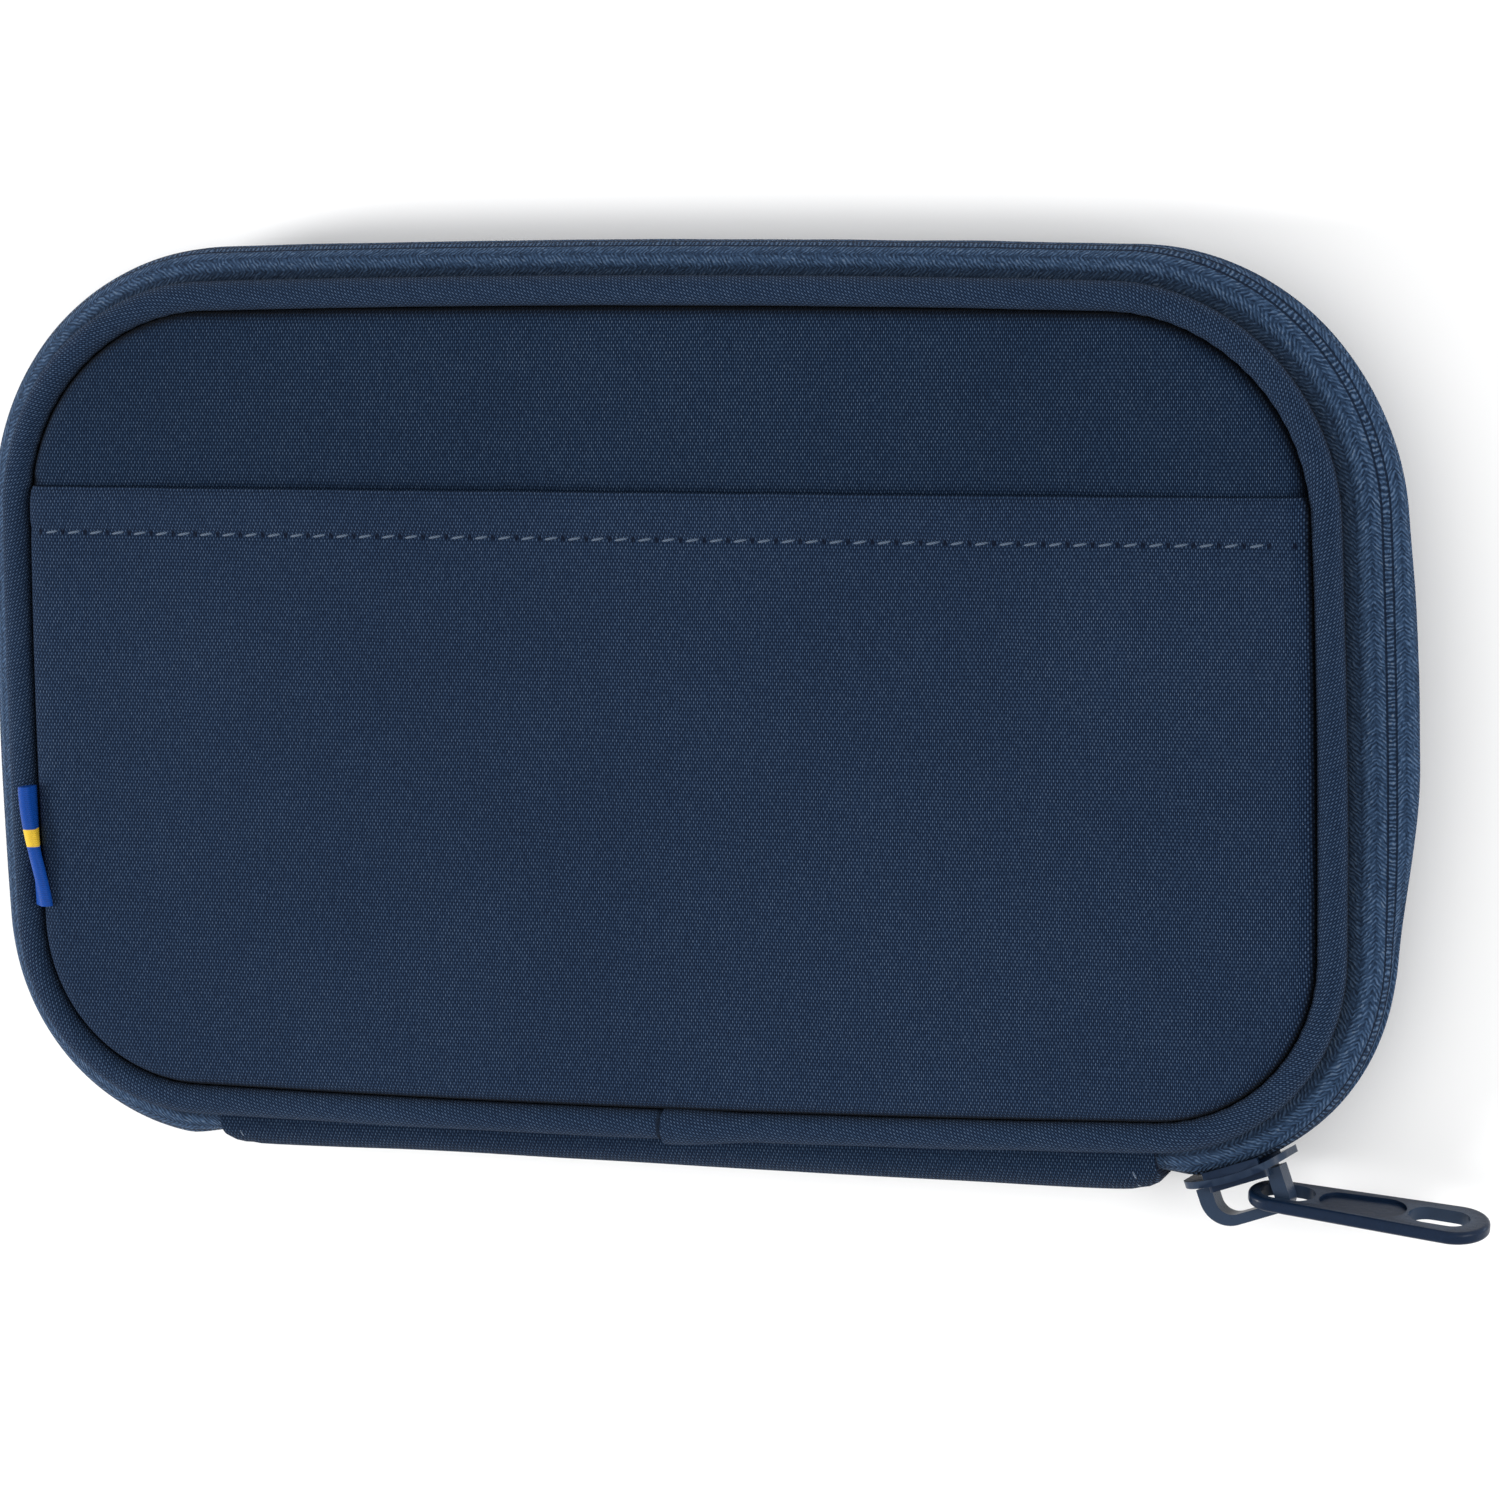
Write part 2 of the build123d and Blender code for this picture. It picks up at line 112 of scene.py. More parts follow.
# ---- sections: distance out from the seam line, height above the cover's outer face ----
TAPE_SECTION = [
    (3.0, 4.7), (4.2, 4.95), (5.1, 5.25), (6.0, 5.65), (6.8, 6.2), (7.5, 6.95), (7.98, 7.75), (8.24, 8.4),
    (8.3, 8.8), (8.2, 9.15), (7.95, 9.42), (7.65, 9.55), (7.4, 9.5), (7.35, 9.1), (7.35, 8.5), (7.15, 7.75),
    (6.75, 7.1), (6.2, 6.55), (5.5, 6.05), (4.6, 5.65), (3.0, 5.35), (0.0, 5.0), (-5.2, 4.95), (-5.2, 4.3),
    (0.0, 4.2), (2.2, 4.2),
]
BINDING_SECTION = [
    (-0.5, 5.05), (-0.6, 5.5), (-3.0, 5.65), (-5.6, 5.55), (-6.1, 5.2), (-6.1, 4.0), (-5.6, 4.0),
    (-5.5, 5.0), (-3.0, 5.1),
]

# ---- how finely shapes are drawn ----
SEAM_STEP = 0.8
RING_STEP = 1.3
RING_DEPTHS = (0.0, 0.35, 0.75, 1.2, 1.8, 2.6, 3.6)
GRID_DEPTH = 4.4
ROW_STEP = 1.4
FINE_ROW_STEP = 0.3
COLUMN_STEP = 1.5
ROUND_SIDES = 20
SHARP_ANGLE = 50.0

# ---- distance from the zip's slit, in Z: full seam shadow below the first, none above the second ----
PANEL_SHADE = (8.0, 9.5)
PIPING_SHADE = (7.0, 8.7)

# ---- weave and knit: threads, knit columns, slants, rungs and loops ----
WEFT_PITCH = 0.45
WARP_PITCH = 0.27
KNIT_COLUMN = 2.0
KNIT_PITCH = 0.58
RUNG_PITCH = 0.56
LOOP_PITCH = 0.29
LADDER = (5.5, 6.7)
LADDER_SEAM = 0.12
# painted shade at the tape's root: none below the first Z distance from the slit, full above the second
TAPE_ROOT_SHADE = (4.3, 5.4)
WEAVE_DEPTH = 0.14
LABEL_THREAD = 0.28
RIB_PITCH = 0.7

# ---- colours, linear ----
# canvas weave: lit colour of the thread tops and shaded colour of the gaps, painted light and shade on one
# dye
CANVAS_LIT = (0.024, 0.061, 0.138)
CANVAS_SHADED = (0.0006, 0.0016, 0.0075)
# panel and spine: the canvas's lit colour dimmed, painted shade
PANEL_LIT_SHADED = (0.015, 0.048, 0.112)
# piping weave: lit colour of its thread tops, painted light
PIPING_LIT = (0.034, 0.078, 0.165)
# painted highlight on the tops of the threads
CANVAS_GLINT = (0.110, 0.140, 0.180)
# painted shade: the colour that cloth darkens to deep in a seam
SEAM_PAINTED_SHADE = (0.0004, 0.0008, 0.0020)
# tape knit: lit colour of its raised loops and shaded colour between them, painted light and shade
TAPE_LIT = (0.048, 0.104, 0.209)
TAPE_SHADED = (0.003, 0.007, 0.018)
# lining weave: lit and shaded colours, painted light and shade as for the canvas
LINING_LIT = (0.090, 0.130, 0.210)
LINING_SHADED = (0.020, 0.028, 0.046)
THREAD_COLOUR = (0.062, 0.108, 0.182)
PAINT_COLOUR = (0.005, 0.013, 0.032)
LABEL_BLUE = (0.004, 0.060, 0.330)
LABEL_YELLOW = (0.850, 0.560, 0.045)
LABEL_SHADOW = (0.002, 0.006, 0.020)
# painted highlight on the sharp edges of the zip metal
EDGE_HIGHLIGHT = (0.06, 0.09, 0.14)
COIL_COLOUR = (0.016, 0.028, 0.056)
FILLER_COLOUR = (0.30, 0.31, 0.33)
BOARD_COLOUR = (0.05, 0.05, 0.055)
FLOOR_COLOUR = (0.93, 0.93, 0.93)

# ---- floor in millimetres; sky; lights: name, place and diameter in metres, watts ----
FLOOR_HALF = 3000.0
FLOOR_DROP = 0.15
SKY_STRENGTH = 0.90
LIGHTS = (
    ("key", (-1.0, -0.15, 0.5), 0.3, 10),
    ("fill", (1.1, 0.1, 0.7), 0.8, 8),
)


# ---- seam line of a cover ----

def edge_radius(half_width, bow):
    return (half_width**2 + bow**2) / (2 * bow)


LONG_RADIUS = edge_radius(HALF_LENGTH, EDGE_BOW)
SHORT_RADIUS = edge_radius(HALF_HEIGHT, SIDE_BOW)


def corner_arc(radius):
    """Centre of the corner in the +X +Y quadrant, and where it turns from the short edge to the long one."""
    long_y = HALF_HEIGHT - LONG_RADIUS
    short_x = HALF_LENGTH - SHORT_RADIUS
    gap = math.hypot(short_x, long_y)
    reach_long = LONG_RADIUS - radius
    reach_short = SHORT_RADIUS - radius
    along = (reach_long**2 - reach_short**2 + gap**2) / (2 * gap)
    aside = math.sqrt(reach_long**2 - along**2)
    step_x, step_y = short_x / gap, -long_y / gap
    x = along * step_x + aside * step_y
    y = long_y + along * step_y - aside * step_x
    return x, y, math.atan2(y, x - short_x), math.atan2(y - long_y, x)


def seam_arcs():
    """Centre, radius, first and last direction of each arc, anticlockwise from the spine edge's middle."""
    low_x, low_y, low_short, low_long = corner_arc(SPINE_CORNER)
    top_x, top_y, top_short, top_long = corner_arc(TOP_CORNER)
    long_y = HALF_HEIGHT - LONG_RADIUS
    short_x = HALF_LENGTH - SHORT_RADIUS
    half = math.pi
    return [
        ((0, -long_y), LONG_RADIUS, -half / 2, -low_long),
        ((low_x, -low_y), SPINE_CORNER, -low_long, -low_short),
        ((short_x, 0), SHORT_RADIUS, -low_short, top_short),
        ((top_x, top_y), TOP_CORNER, top_short, top_long),
        ((0, long_y), LONG_RADIUS, top_long, half - top_long),
        ((-top_x, top_y), TOP_CORNER, half - top_long, half - top_short),
        ((-short_x, 0), SHORT_RADIUS, half - top_short, half + low_short),
        ((-low_x, -low_y), SPINE_CORNER, half + low_short, half + low_long),
        ((0, -long_y), LONG_RADIUS, half + low_long, 1.5 * half),
    ]


class Seam:
    """Points along the seam line, with their outward directions and distance along the line."""

    def __init__(self, step):
        points, normals, lengths = [], [], []
        total = 0.0
        for centre, radius, first, last in seam_arcs():
            length = radius * (last - first)
            count = max(2, round(length / step))
            for number in range(count):
                turn = first + (last - first) * number / count
                out = (math.cos(turn), math.sin(turn))
                points.append((centre[0] + radius * out[0], centre[1] + radius * out[1]))
                normals.append(out)
                lengths.append(total + length * number / count)
            total += length
        self.points = np.array(points)
        self.normals = np.array(normals)
        self.lengths = np.array(lengths)

    def part(self, keep):
        """The stretch where keep is true; the seam starts in the middle of the spine edge."""
        piece = Seam.__new__(Seam)
        piece.points = self.points[keep]
        piece.normals = self.normals[keep]
        piece.lengths = self.lengths[keep]
        return piece


def seam_depth(x, y):
    """Distance from a point inside the cover to the seam line."""
    radius = TOP_CORNER if y > 0 else SPINE_CORNER
    x, y = abs(x), abs(y)
    centre_x, centre_y, short_turn, long_turn = corner_arc(radius)
    to_long = LONG_RADIUS - math.hypot(x, y - HALF_HEIGHT + LONG_RADIUS)
    to_short = SHORT_RADIUS - math.hypot(x - HALF_LENGTH + SHORT_RADIUS, y)
    if short_turn < math.atan2(y - centre_y, x - centre_x) < long_turn:
        return radius - math.hypot(x - centre_x, y - centre_y)
    return min(to_long, to_short)


def smooth_step(low, high, value):
    share = min(1.0, max(0.0, (value - low) / (high - low)))
    return share * share * (3 - 2 * share)


# ---- meshes ----

def new_piece(name, vertices, faces, material, uvs=None):
    """Mesh object from millimetre vertices, smooth shaded, with outward faces."""
    mesh = bpy.data.meshes.new(name)
    mesh.from_pydata([Vector(v) * MM for v in vertices], [], faces)
    if uvs is not None:
        layer = mesh.uv_layers.new(name="along")
        for loop in mesh.loops:
            layer.data[loop.index].uv = uvs[loop.vertex_index]
    shape = bmesh.new()
    shape.from_mesh(mesh)
    bmesh.ops.recalc_face_normals(shape, faces=shape.faces)
    shape.to_mesh(mesh)
    shape.free()
    mesh.polygons.foreach_set("use_smooth", [True] * len(mesh.polygons))
    mesh.set_sharp_from_angle(angle=math.radians(SHARP_ANGLE))
    mesh.materials.append(material)
    piece = bpy.data.objects.new(name, mesh)
    bpy.context.scene.collection.objects.link(piece)
    return piece


def on_side(height, front):
    """Height above a cover's outer face as a Z value."""
    return THICKNESS - height if front else height


def sweep(name, line, section, material, front, closed):
    """Closed section carried along a seam line. section(number) gives (offset, height) points."""
    vertices, uvs, faces = [], [], []
    count = len(line.points)
    for number in range(count):
        x, y = line.points[number]
        out_x, out_y = line.normals[number]
        around = 0.0
        last = None
        for offset, height in section(number):
            if last is not None:
                around += math.hypot(offset - last[0], height - last[1])
            last = (offset, height)
            vertices.append((x + out_x * offset, y + out_y * offset, on_side(height, front)))
            uvs.append((line.lengths[number], around))
    sides = len(vertices) // count
    for number in range(count if closed else count - 1):
        here, there = number * sides, (number + 1) % count * sides
        for side in range(sides):
            after = (side + 1) % sides
            faces.append((here + side, there + side, there + after, here + after))
    if not closed:
        faces.append(tuple(range(sides)))
        faces.append(tuple(range((count - 1) * sides, count * sides)))
    return new_piece(name, vertices, faces, material, uvs)


def cloth_outline(inset):
    """Rings of points inside the seam line, closer together where the cloth falls into the seam."""
    seam = Seam(RING_STEP)
    return [seam.points - seam.normals * (inset + depth) for depth in RING_DEPTHS]


def cloth_rows(fine_rows):
    """Y values of the cloth's rows, closer together in the stretches of fine_rows."""
    rows = list(np.arange(-HALF_HEIGHT, HALF_HEIGHT, ROW_STEP))
    clear = 0.5
    for low, high in fine_rows:
        rows = [y for y in rows if not low - clear < y < high + clear]
        rows += list(np.arange(low, high, FINE_ROW_STEP))
    return rows


def cloth(name, inset, y_range, height, thick, material, front, fine_rows=()):
    """Sheet of cloth inside the seam line: height(x, y) is its outer face, thick its thickness inwards."""
    tolerance = 1e-4
    rings = cloth_outline(inset)
    points = [Vector(p) for ring in rings for p in ring]
    count = len(rings[0])
    edges = [(n, (n + 1) % count) for n in range(count)]
    for row, y in enumerate(cloth_rows(fine_rows)):
        for x in np.arange(-HALF_LENGTH, HALF_LENGTH, COLUMN_STEP) + COLUMN_STEP / 2 * (row % 2):
            if seam_depth(x, y) > inset + GRID_DEPTH:
                points.append(Vector((x, y)))
    flat, _, triangles, *_ = geometry.delaunay_2d_cdt(points, edges, [], 1, tolerance)
    shape = bmesh.new()
    corners = [shape.verts.new((p.x, p.y, 0)) for p in flat]
    for triangle in triangles:
        shape.faces.new([corners[n] for n in triangle])
    for y, outwards in ((y_range[0], -1), (y_range[1], 1)):
        everything = shape.verts[:] + shape.edges[:] + shape.faces[:]
        bmesh.ops.bisect_plane(shape, geom=everything, plane_co=(0, y, 0), plane_no=(0, outwards, 0),
                               clear_outer=True, dist=tolerance)
    rim = [edge for edge in shape.edges if edge.is_boundary]
    copied = bmesh.ops.duplicate(shape, geom=shape.verts[:] + shape.edges[:] + shape.faces[:])
    twin = copied["vert_map"]
    inner = {part for part in copied["geom"] if isinstance(part, bmesh.types.BMVert)}
    for edge in rim:
        first, second = edge.verts
        shape.faces.new((first, second, twin[second], twin[first]))
    for vertex in shape.verts:
        rise = height(vertex.co.x, vertex.co.y)
        if vertex in inner:
            rise += thick
        vertex.co.z = on_side(rise, front)
    shape.verts.ensure_lookup_table()
    shape.verts.index_update()
    vertices = [tuple(v.co) for v in shape.verts]
    faces = [tuple(v.index for v in f.verts) for f in shape.faces]
    shape.free()
    return new_piece(name, vertices, faces, material)


def ripple(x, y, scale, seed):
    """Slow unevenness of cloth, from -1 to 1."""
    return noise.noise(Vector((x / scale, y / scale, seed)))


# ---- materials ----

class Graph:
    """A material's node tree, with short calls for the nodes used here."""

    def __init__(self, name):
        self.material = bpy.data.materials.new(name)
        self.material.use_nodes = True
        self.tree = self.material.node_tree
        self.shader = self.tree.nodes["Principled BSDF"]

    def node(self, kind, **settings):
        made = self.tree.nodes.new(kind)
        for key, value in settings.items():
            setattr(made, key, value)
        return made

    def plug(self, socket, value):
        if isinstance(value, bpy.types.NodeSocket):
            self.tree.links.new(value, socket)
        else:
            socket.default_value = value

    def math(self, operation, *values):
        made = self.node("ShaderNodeMath", operation=operation)
        for socket, value in zip(made.inputs, values):
            self.plug(socket, value)
        return made.outputs[0]

    def plus(self, first, second):
        return self.math("ADD", first, second)

    def minus(self, first, second):
        return self.math("SUBTRACT", first, second)

    def times(self, first, second):
        return self.math("MULTIPLY", first, second)

    def wave(self, value, pitch):
        """Sine wave from -1 to 1, one turn per pitch."""
        return self.math("SINE", self.times(value, 2 * math.pi / pitch))

    def arches(self, value):
        """Row of arches from 0 to 1, one per unit."""
        return self.math("SINE", self.times(self.math("FRACT", value), math.pi))

    def axes(self, source):
        """X, Y and Z of the object's own coordinates, or the mesh's along and around, in millimetres."""
        place = self.node("ShaderNodeTexCoord").outputs[source]
        parts = self.node("ShaderNodeSeparateXYZ")
        self.plug(parts.inputs[0], place)
        if source == "UV":
            return parts.outputs[:2]
        return [self.math("DIVIDE", part, MM) for part in parts.outputs]

    def noise(self, scale, detail=2.0):
        """Soft noise; scale is in features per metre."""
        made = self.node("ShaderNodeTexNoise")
        made.inputs["Scale"].default_value = scale
        made.inputs["Detail"].default_value = detail
        self.plug(made.inputs["Vector"], self.node("ShaderNodeTexCoord").outputs["Object"])
        return made.outputs[0]

    def scatter(self, first, second):
        """A random value for each pair of whole numbers."""
        pair = self.node("ShaderNodeCombineXYZ")
        self.plug(pair.inputs[0], first)
        self.plug(pair.inputs[1], second)
        made = self.node("ShaderNodeTexWhiteNoise", noise_dimensions="2D")
        self.plug(made.inputs["Vector"], pair.outputs[0])
        return made.outputs["Value"]

    def mix(self, share, low, high):
        made = self.node("ShaderNodeMix", data_type="RGBA")
        self.plug(made.inputs["Factor"], share)
        for socket, value in ((made.inputs[6], low), (made.inputs[7], high)):
            self.plug(socket, (*value, 1.0) if isinstance(value, tuple) else value)
        return made.outputs[2]

    def glint(self, share, colour):
        """Painted highlight: a paler colour on the tops of the threads."""
        top = self.times(self.math("POWER", share, 3.0), 0.45)
        return self.mix(top, colour, CANVAS_GLINT)

    def ramp(self, value, low, high):
        """0 below low, 1 above high, smooth between them."""
        made = self.node("ShaderNodeMapRange", interpolation_type="SMOOTHSTEP")
        self.plug(made.inputs["Value"], value)
        made.inputs["From Min"].default_value = low
        made.inputs["From Max"].default_value = high
        return made.outputs[0]

    def seam_shade(self, colour, low, high, deepest=0.8):
        """Painted shade: darker where the surface lies deep in a seam, told by its height from the zip's
        slit.
        """
        height = self.math("ABSOLUTE", self.minus(self.axes("Object")[2], MIDDLE))
        depth = self.minus(1.0, self.ramp(height, low, high))
        return self.mix(self.times(depth, deepest), colour, SEAM_PAINTED_SHADE)

    def bump(self, height, depth, strength=1.0):
        made = self.node("ShaderNodeBump")
        made.inputs["Distance"].default_value = depth * MM
        made.inputs["Strength"].default_value = strength
        self.plug(made.inputs["Height"], height)
        self.plug(self.shader.inputs["Normal"], made.outputs[0])

    def finish(self, colour, roughness, sheen=0.0, specular=0.5):
        self.plug(self.shader.inputs["Base Color"], colour)
        self.plug(self.shader.inputs["Roughness"], roughness)
        self.shader.inputs["Sheen Weight"].default_value = sheen
        self.shader.inputs["Sheen Roughness"].default_value = 0.5
        self.shader.inputs["Specular IOR Level"].default_value = specular
        return self.material


def plain_weave(graph, across, along):
    """Heights of a plain weave's warp and weft, and a random value per crossing; one thread per unit."""
    warp_number = graph.math("FLOOR", across)
    weft_number = graph.math("FLOOR", along)
    heights = []
    threads = ((warp_number, across, along, 0.45), (weft_number, along, across, -0.45))
    for number, here, there, sign in threads:
        round_top = graph.arches(here)
        phase = graph.plus(graph.minus(there, 0.5), number)
        wave = graph.math("COSINE", graph.times(phase, math.pi))
        rise = graph.plus(graph.times(wave, sign), 0.55)
        heights.append(graph.times(round_top, rise))
    return heights[0], heights[1], graph.scatter(warp_number, weft_number)


def woven(name, source, turned, light, dark):
    """Canvas: a plain weave of coarse dyed thread, lighter where a thread stands up, as painted light and
    shade.
    """
    graph = Graph(name)
    u, v = graph.axes(source)[:2]
    if turned:
        slope = math.sqrt(0.5)
        total = graph.times(graph.plus(u, v), slope)
        v = graph.times(graph.minus(v, u), slope)
        u = total
    wander = graph.times(graph.minus(graph.noise(110), 0.5), 0.4)
    across = graph.math("DIVIDE", graph.plus(u, wander), WARP_PITCH)
    along = graph.math("DIVIDE", graph.plus(v, wander), WEFT_PITCH)
    warp, weft, chance = plain_weave(graph, across, along)
    height = graph.math("MAXIMUM", warp, weft)
    fibre = graph.noise(2600, 3.0)
    # share: painted light on the thread tops and painted shade between them, varied by a random tone
    share = graph.math("MAXIMUM", graph.math("POWER", warp, 1.6), graph.times(weft, 0.32))
    share = graph.times(share, graph.plus(0.82, graph.times(chance, 0.32)))
    share = graph.times(share, graph.plus(0.70, graph.times(fibre, 0.60)))
    cloudy = graph.plus(0.80, graph.times(graph.noise(28, 3.0), 0.40))
    share = graph.times(share, cloudy)
    graph.bump(graph.plus(height, graph.times(fibre, 0.35)), WEAVE_DEPTH)
    return graph, graph.glint(share, graph.mix(share, dark, light))


def canvas(name, source="Object", turned=False, light=CANVAS_LIT, dark=CANVAS_SHADED, shade=None):
    graph, colour = woven(name, source, turned, light, dark)
    if shade is not None:
        colour = graph.seam_shade(colour, *shade)
    return graph.finish(colour, 0.85, sheen=0.02, specular=0.05)


def between(graph, value, low, high, soft):
    """1 where value is between low and high, with soft edges."""
    rise = graph.ramp(value, low - soft, low + soft)
    fall = graph.ramp(value, high - soft, high + soft)
    return graph.times(rise, graph.minus(1.0, fall))


def hem_canvas():
    """Canvas of the slip pocket, with painted shade for needle holes between its stitches."""
    graph, colour = woven("pocket_canvas", "Object", False, CANVAS_LIT, CANVAS_SHADED)
    x, y = graph.axes("Object")[:2]
    turn = graph.math("FRACT", graph.math("DIVIDE", graph.plus(x, HEM_REACH), STITCH_PITCH))
    hole = graph.math("GREATER_THAN", graph.math("ABSOLUTE", graph.minus(turn, 0.5)), 0.42)
    half_row = 0.38
    row = between(graph, y, HEM_STITCH_Y - half_row, HEM_STITCH_Y + half_row, 0.12)
    # painted shade in the needle holes
    dark = graph.times(graph.times(hole, row), 0.75)
    colour = graph.seam_shade(graph.mix(dark, colour, CANVAS_SHADED), *PANEL_SHADE)
    return graph.finish(colour, 0.85, sheen=0.02, specular=0.05)


def tape_relief(graph, along, around, slant):
    """Height of the knit: slanted rows that turn at each column, and a ladder of rungs between gutters."""
    soft = 0.06
    chevron = graph.plus(0.74, graph.times(graph.wave(slant, KNIT_PITCH), 0.22))
    wale = graph.arches(graph.math("DIVIDE", around, KNIT_COLUMN))
    knit = graph.times(chevron, graph.plus(0.70, graph.times(wale, 0.30)))
    rung = graph.plus(0.68, graph.times(graph.wave(along, RUNG_PITCH), 0.34))
    ladder = between(graph, around, LADDER[0], LADDER[1], soft)
    gutters = [between(graph, around, edge - LADDER_SEAM, edge + LADDER_SEAM, soft) for edge in LADDER]
    height = graph.plus(graph.times(rung, ladder), graph.times(knit, graph.minus(1.0, ladder)))
    gutter = graph.minus(1.0, graph.math("MAXIMUM", *gutters))
    return graph.times(height, graph.math("MAXIMUM", gutter, 0.30))


def zip_tape_material():
    """Knitted tape: herringbone with a ladder column in it, with painted shade at its root under the piping.
    """
    graph = Graph("zip_tape_knit")
    along, around = graph.axes("UV")
    along = graph.plus(along, graph.minus(graph.noise(800, 2.0), 0.5))
    slant = graph.plus(along, graph.times(graph.math("PINGPONG", around, KNIT_COLUMN), 0.8))
    height = tape_relief(graph, along, around, slant)
    fibre = graph.noise(2400, 3.0)
    loops = [graph.math("FLOOR", graph.math("DIVIDE", place, LOOP_PITCH)) for place in (slant, around)]
    loop = graph.plus(0.45, graph.times(graph.scatter(*loops), 0.85))
    # share: painted light on the raised knit and painted shade in its hollows, varied by fibre and loop
    share = graph.times(graph.math("POWER", height, 1.8), graph.plus(0.35, graph.times(fibre, 1.2)))
    share = graph.times(share, loop)
    graph.bump(graph.plus(height, graph.times(fibre, 0.4)), 0.24)
    colour = graph.glint(share, graph.mix(share, TAPE_SHADED, TAPE_LIT))
    from_slit = graph.math("ABSOLUTE", graph.minus(graph.axes("Object")[2], MIDDLE))
    # painted shade at the tape's root, under the piping
    colour = graph.mix(graph.times(graph.ramp(from_slit, *TAPE_ROOT_SHADE), 0.75), colour, SEAM_PAINTED_SHADE)
    return graph.finish(colour, 0.8, sheen=0.02, specular=0.08)


def grosgrain():
    """Binding ribbon, with fine ribs across it."""
    graph = Graph("binding_grosgrain")
    rib = graph.plus(0.5, graph.times(graph.wave(graph.axes("UV")[0], RIB_PITCH), 0.5))
    fibre = graph.noise(2200, 2.0)
    # share: painted light on the rib tops and painted shade between the ribs, varied by the fibre
    share = graph.times(rib, graph.plus(0.6, graph.times(fibre, 0.6)))
    graph.bump(share, 0.1)
    return graph.finish(graph.mix(share, CANVAS_SHADED, CANVAS_LIT), 0.7, sheen=0.2)


def label_material():
    """Satin ribbon: blue, with one yellow band across it."""
    graph = Graph("label_ribbon")
    y = graph.axes("Object")[1]
    thread = graph.wave(y, LABEL_THREAD)
    fibre = graph.noise(1800, 2.0)
    tone = graph.plus(0.70, graph.plus(graph.times(thread, 0.12), graph.times(fibre, 0.35)))
    band = between(graph, y, *LABEL_BAND_Y, 0.08)
    colour = graph.mix(tone, LABEL_SHADOW, graph.mix(band, LABEL_BLUE, LABEL_YELLOW))
    graph.bump(thread, 0.04)
    return graph.finish(colour, 0.5, specular=0.2)


def toned(colour, share):
    """The same colour, lighter or darker."""
    return tuple(share * part for part in colour)


def painted_metal():
    """Zip metal under a baked coat of paint, slightly orange-peeled, with a painted highlight on its sharp
    edges.
    """
    graph = Graph("painted_zip_metal")
    peel = graph.noise(1500, 2.0)
    speck = graph.noise(5200, 2.0)
    edge = graph.node("ShaderNodeNewGeometry").outputs["Pointiness"]
    # painted highlight: paler colour on sharp edges, told by pointiness
    edge_highlight = graph.times(graph.minus(edge, 0.53), 6.0)
    edge_highlight = graph.math("MAXIMUM", 0.0, graph.math("MINIMUM", 0.30, edge_highlight))
    tone = graph.mix(peel, toned(PAINT_COLOUR, 0.8), toned(PAINT_COLOUR, 1.3))
    graph.bump(graph.plus(peel, graph.times(speck, 0.4)), 0.05, 0.6)
    rough = graph.plus(0.22, graph.times(speck, 0.16))
    return graph.finish(graph.mix(edge_highlight, tone, EDGE_HIGHLIGHT), rough, specular=0.14)


def grainy(name, colour, roughness, scale, depth):
    """Plain stuff with a fine grain: board, filler or coil."""
    graph = Graph(name)
    grain = graph.noise(scale, 3.0)
    graph.bump(grain, depth)
    return graph.finish(graph.mix(grain, toned(colour, 0.65), toned(colour, 1.35)), roughness)


def twisted_thread():
    """Sewing thread: plies twisted along X."""
    graph = Graph("sewing_thread")
    x, y = graph.axes("Object")[:2]
    twist = graph.math("SINE", graph.times(graph.plus(x, graph.times(y, 1.5)), 14.0))
    share = graph.plus(0.5, graph.times(twist, 0.5))
    graph.bump(share, 0.06)
    return graph.finish(graph.mix(share, toned(THREAD_COLOUR, 0.45), THREAD_COLOUR), 0.55, sheen=0.2)


# ---- pieces of the covers ----

SEAM = Seam(SEAM_STEP)


def edge_fall(depth):
    """How far cloth drops into the seam at a distance from it."""
    return 2.4 * math.exp(-depth / 0.95)


def panel_height(front):
    """Outer face of a cover's panel: crowned over the foam on the front, flat where it rests on the back."""
    def height(x, y):
        depth = max(0.0, seam_depth(x, y))
        crown = 0.0
        if front:
            inside = smooth_step(0, 45, depth)
            crown = -0.25 + 0.55 * inside + 0.30 * ripple(x, y, 30, 3.1) * smooth_step(2, 14, depth)
            crown += 0.22 * ripple(x, y / 5, 7, 6.1) * math.exp(-depth / 8) * smooth_step(0.8, 2.5, depth)
            crown -= 0.55 * math.exp(-((y - MOUTH_Y - 0.2) / 1.0)**2)
        return edge_fall(depth) - crown
    return height


def pocket_height(x, y):
    """Outer face of the slip pocket, with its folded hem and the dip along the stitches."""
    depth = max(0.0, seam_depth(x, y))
    base = panel_height(True)(x, y) - 0.75 * smooth_step(-0.5, 1.5, depth)
    hem = 0.28 * smooth_step(HEM_STITCH_Y + 0.1, HEM_STITCH_Y + 1.0, y)
    hem -= 0.15 * smooth_step(MOUTH_Y - 0.8, MOUTH_Y, y)
    pull = 0.30 * math.exp(-((y - HEM_STITCH_Y) / 0.55)**2)
    pucker = 0.05 * math.cos(math.pi * x / STITCH_PITCH) * math.exp(-((y - HEM_STITCH_Y - 2.4) / 2.2)**2)
    gape = 1.0 * smooth_step(17, MOUTH_Y, y) * smooth_step(3, 40, depth + 20 - abs(x + 20) / 4)
    swell = 0.16 * ripple(x, y, 26, 8.4) * smooth_step(2, 12, depth)
    return base - hem + pull - pucker - gape - swell


